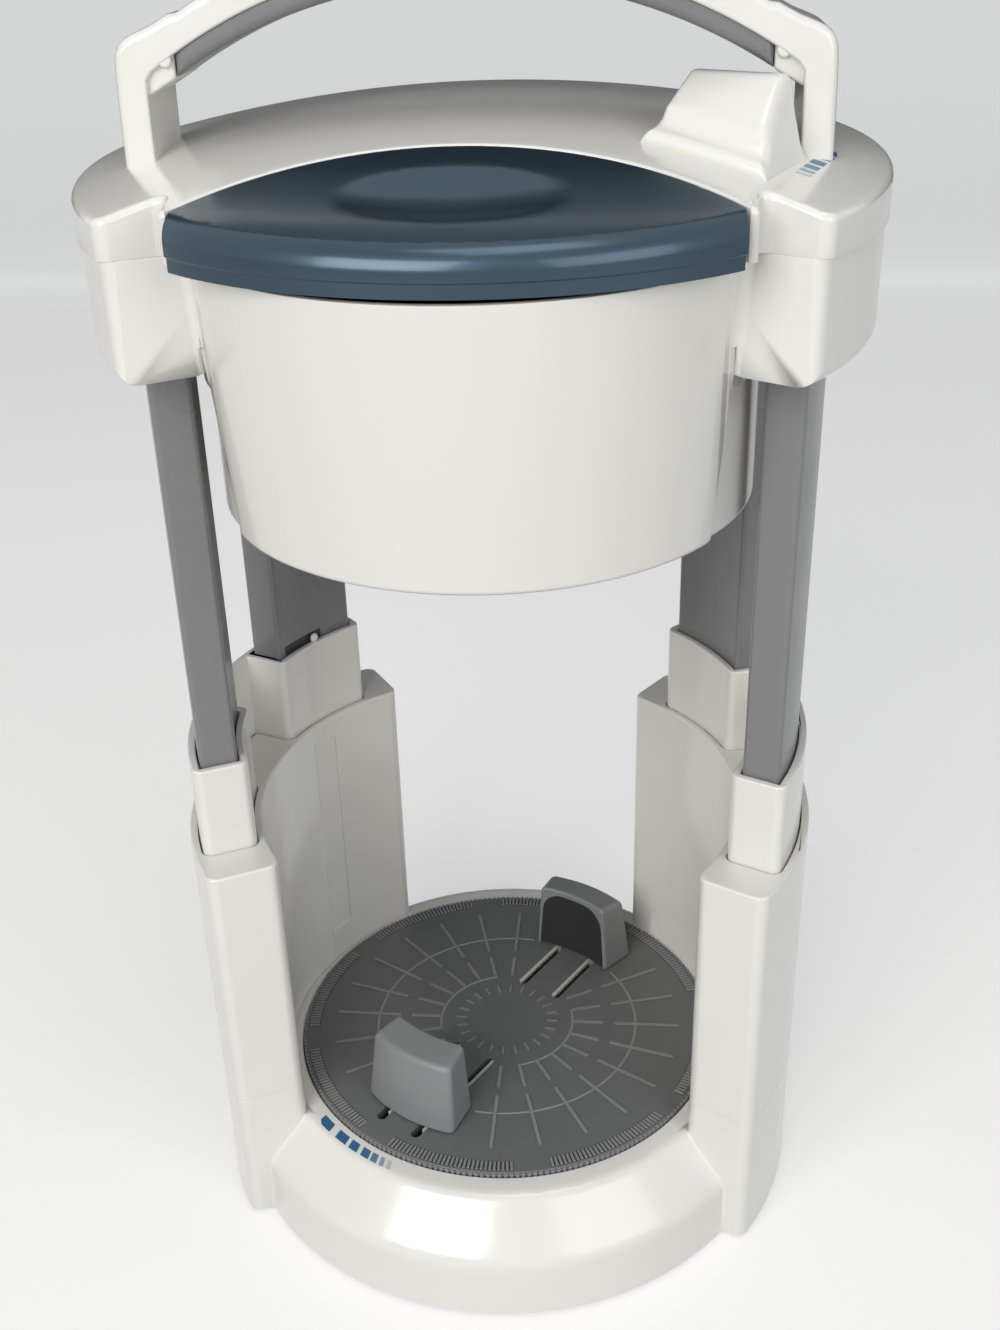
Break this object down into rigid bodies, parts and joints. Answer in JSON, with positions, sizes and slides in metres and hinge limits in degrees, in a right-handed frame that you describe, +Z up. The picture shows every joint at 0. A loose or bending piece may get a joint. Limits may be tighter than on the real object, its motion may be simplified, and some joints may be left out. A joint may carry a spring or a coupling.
{
  "type": "electric jar opener",
  "caption": "Free-standing electric jar opener: a turntable with sliding jaws holds the jar, and a head on telescoping columns turns its lid.",
  "frame": {"origin": "on the turntable's axis at the floor, which is the middle of the underside of the bounding box", "axes": "+Z up, -Y towards the user, +X to the user's right"},
  "size_m": [0.2228, 0.206, 0.411],
  "materials": {
    "white_plastic": "gloss, slightly warm white moulding",
    "leg_grey": "satin mid-grey moulding",
    "table_grey": "matt dark grey moulding",
    "jaw_grey": "satin grey moulding",
    "rubber": "black rubber",
    "pad_blue": "pearl dark blue moulding",
    "steel": "bright steel",
    "brass": "plain brass",
    "nylon": "natural nylon",
    "frame_grey": "plain grey moulding",
    "black_plastic": "black moulding"
  },
  "bodies": {
    "base": {"base_tub": "white_plastic", "base_plate": "frame_grey", "rubber_feet": "rubber", "base_screws": "steel", "left_casing": "white_plastic", "right_casing": "white_plastic", "table_bearing": "nylon", "jar_pinion": "brass"},
    "left_column_sleeve": {"left_sleeve": "white_plastic"},
    "right_column_sleeve": {"right_sleeve": "white_plastic"},
    "jar_table": {"turntable": "table_grey", "turntable_underplate": "nylon", "turntable_screws": "steel", "guide_rods": "steel"},
    "front_jaw": {"front_jar_jaw": "jaw_grey", "front_jar_pad": "rubber", "front_jar_rack": "nylon"},
    "back_jaw": {"back_jar_jaw": "jaw_grey", "back_jar_pad": "rubber", "back_jar_rack": "nylon"},
    "head": {"left_front_leg": "leg_grey", "left_rear_leg": "leg_grey", "right_front_leg": "leg_grey", "right_rear_leg": "leg_grey", "leg_screws": "steel", "head_housing": "white_plastic", "top_cover": "white_plastic", "handle_frame": "white_plastic", "handle_grip": "leg_grey", "handle_screws": "steel", "gear_plate": "frame_grey", "gear_shafts": "steel", "gear_plate_screws": "steel", "motor": "steel", "lid_pinion": "brass", "power_switch": "black_plastic", "pad_springs": "steel", "lever_spring": "steel", "cord_gland": "black_plastic"},
    "motor_shaft": {"motor_pinion": "brass"},
    "first_reduction": {"first_gear": "nylon"},
    "second_reduction": {"second_gear": "nylon"},
    "lid_turner": {"lid_carrier": "nylon"},
    "right_lid_gripper": {"right_lid_jaw": "jaw_grey", "right_lid_pad": "rubber", "right_lid_rack": "nylon"},
    "left_lid_gripper": {"left_lid_jaw": "jaw_grey", "left_lid_pad": "rubber", "left_lid_rack": "nylon"},
    "pad": {"power_pad": "pad_blue"},
    "lever": {"release_lever": "white_plastic"},
    "latch": {"latch_rod": "steel"}
  },
  "joints": [
    {"name": "head_lift", "type": "slide", "parent": "base", "child": "head", "axis": [0, 0, -1], "range_m": [0, 0.15]},
    {"name": "left_sleeve_slide", "type": "slide", "parent": "base", "child": "left_column_sleeve", "axis": [0, 0, -1], "range_m": [0, 0.0281]},
    {"name": "right_sleeve_slide", "type": "slide", "parent": "base", "child": "right_column_sleeve", "axis": [0, 0, -1], "range_m": [0, 0.0281]},
    {"name": "turntable_spin", "type": "hinge", "parent": "base", "child": "jar_table", "pos_m": [0, 0, 0.025], "axis": [0, 0, 1], "range_deg": [-28, 109]},
    {"name": "front_jaw_slide", "type": "slide", "parent": "jar_table", "child": "front_jaw", "axis": [-0.5075, -0.8616, 0], "range_m": [-0.023, 0.006]},
    {"name": "back_jaw_slide", "type": "slide", "parent": "jar_table", "child": "back_jaw", "axis": [0.5075, 0.8616, 0], "range_m": [-0.023, 0.006]},
    {"name": "lid_spin", "type": "hinge", "parent": "head", "child": "lid_turner", "pos_m": [0, 0, 0.27], "axis": [0, 0, 1], "range_deg": [0, 109]},
    {"name": "right_lid_jaw_slide", "type": "slide", "parent": "lid_turner", "child": "right_lid_gripper", "axis": [0.7314, -0.682, 0], "range_m": [-0.023, 0]},
    {"name": "left_lid_jaw_slide", "type": "slide", "parent": "lid_turner", "child": "left_lid_gripper", "axis": [-0.7314, 0.682, 0], "range_m": [-0.023, 0]},
    {"name": "second_gear_spin", "type": "hinge", "parent": "head", "child": "second_reduction", "pos_m": [-0.045, 0, 0.285], "axis": [0, 0, 1], "range_deg": [-440, 0]},
    {"name": "first_gear_spin", "type": "hinge", "parent": "head", "child": "first_reduction", "pos_m": [-0.02875, 0.02815, 0.285], "axis": [0, 0, 1], "range_deg": [0, 1460]},
    {"name": "motor_spin", "type": "hinge", "parent": "head", "child": "motor_shaft", "pos_m": [-0.0062, 0.03635, 0.29], "axis": [0, 0, 1], "range_deg": [-4370, 0]},
    {"name": "power_pad_press", "type": "slide", "parent": "head", "child": "pad", "axis": [0, 0, -1], "range_m": [0, 0.0012], "stiffness_N_per_m": 1200, "springref_m": -0.002, "deforming": ["pad_springs"]},
    {"name": "release_lever_push", "type": "slide", "parent": "head", "child": "lever", "axis": [0.3658, 0.9286, 0.063], "range_m": [0, 0.005], "stiffness_N_per_m": 500, "springref_m": -0.002, "deforming": ["lever_spring"]},
    {"name": "latch_rod_lift", "type": "slide", "parent": "head", "child": "latch", "axis": [0, 0, 1], "range_m": [0, 0.0036]}
  ],
  "couplings": [
    {"joint": "left_sleeve_slide", "follows": "head_lift", "ratio": 0.18667},
    {"joint": "right_sleeve_slide", "follows": "head_lift", "ratio": 0.18667},
    {"joint": "front_jaw_slide", "follows": "turntable_spin", "m_per_rad": -0.012},
    {"joint": "back_jaw_slide", "follows": "turntable_spin", "m_per_rad": -0.012},
    {"joint": "right_lid_jaw_slide", "follows": "lid_spin", "m_per_rad": -0.012},
    {"joint": "left_lid_jaw_slide", "follows": "lid_spin", "m_per_rad": -0.012},
    {"joint": "second_gear_spin", "follows": "lid_spin", "ratio": -4},
    {"joint": "first_gear_spin", "follows": "lid_spin", "ratio": 13.333},
    {"joint": "motor_spin", "follows": "lid_spin", "ratio": -40},
    {"joint": "latch_rod_lift", "follows": "release_lever_push", "ratio": 0.7}
  ]
}
